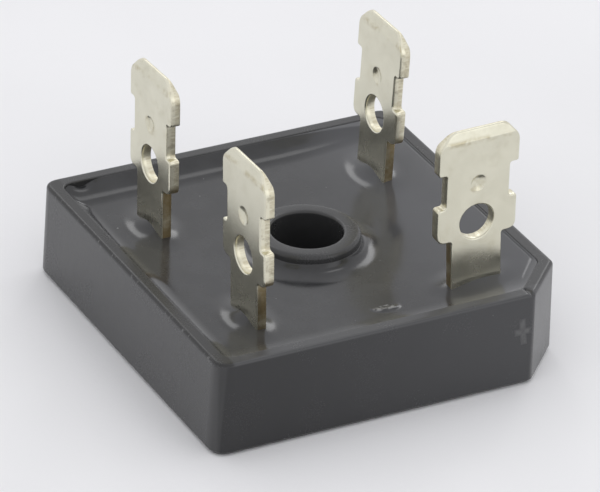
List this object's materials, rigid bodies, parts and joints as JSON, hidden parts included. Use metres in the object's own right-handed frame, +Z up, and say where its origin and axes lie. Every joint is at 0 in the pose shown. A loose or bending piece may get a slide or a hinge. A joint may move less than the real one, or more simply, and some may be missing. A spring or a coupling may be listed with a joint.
{
  "type": "bridge rectifier",
  "caption": "Square potted bridge rectifier with upright push-on tab terminals, a central screw hole and a cut corner by the plus tab.",
  "frame": {"origin": "centre of the underside, on the screw hole's axis", "axes": "+Z up the screw hole towards the tab tips, -Y out of the long side next to the plus tab, cut corner at +X and -Y"},
  "size_m": [0.0286, 0.0286, 0.0187],
  "materials": {
    "case_plastic": "dark grey moulded plastic, satin",
    "resin": "dark grey cast resin, glossy",
    "plated_tab": "tin plated, softly bright",
    "base_metal": "milled flat",
    "insulator": "plain white sheet",
    "copper": "stamped copper",
    "silicon": "sawn and lapped",
    "solder": "dull grey"
  },
  "bodies": {
    "root": {"base_plate": "base_metal", "case": "case_plastic", "centre_bush": "case_plastic", "clip_1": "copper", "clip_2": "copper", "clip_3": "copper", "clip_4": "copper", "clip_foot_solder_1": "solder", "clip_foot_solder_2": "solder", "clip_foot_solder_3": "solder", "clip_foot_solder_4": "solder", "clip_solder_1": "solder", "clip_solder_2": "solder", "clip_solder_3": "solder", "clip_solder_4": "solder", "die_1": "silicon", "die_2": "silicon", "die_3": "silicon", "die_4": "silicon", "die_solder_1": "solder", "die_solder_2": "solder", "die_solder_3": "solder", "die_solder_4": "solder", "insulator_sheet": "insulator", "land_ac_front": "copper", "land_ac_rear": "copper", "land_minus": "copper", "land_plus": "copper", "potting_resin": "resin", "tab_ac_front": "plated_tab", "tab_ac_rear": "plated_tab", "tab_minus": "plated_tab", "tab_plus": "plated_tab", "tab_solder_ac_front": "solder", "tab_solder_ac_rear": "solder", "tab_solder_minus": "solder", "tab_solder_plus": "solder"}
  },
  "joints": []
}
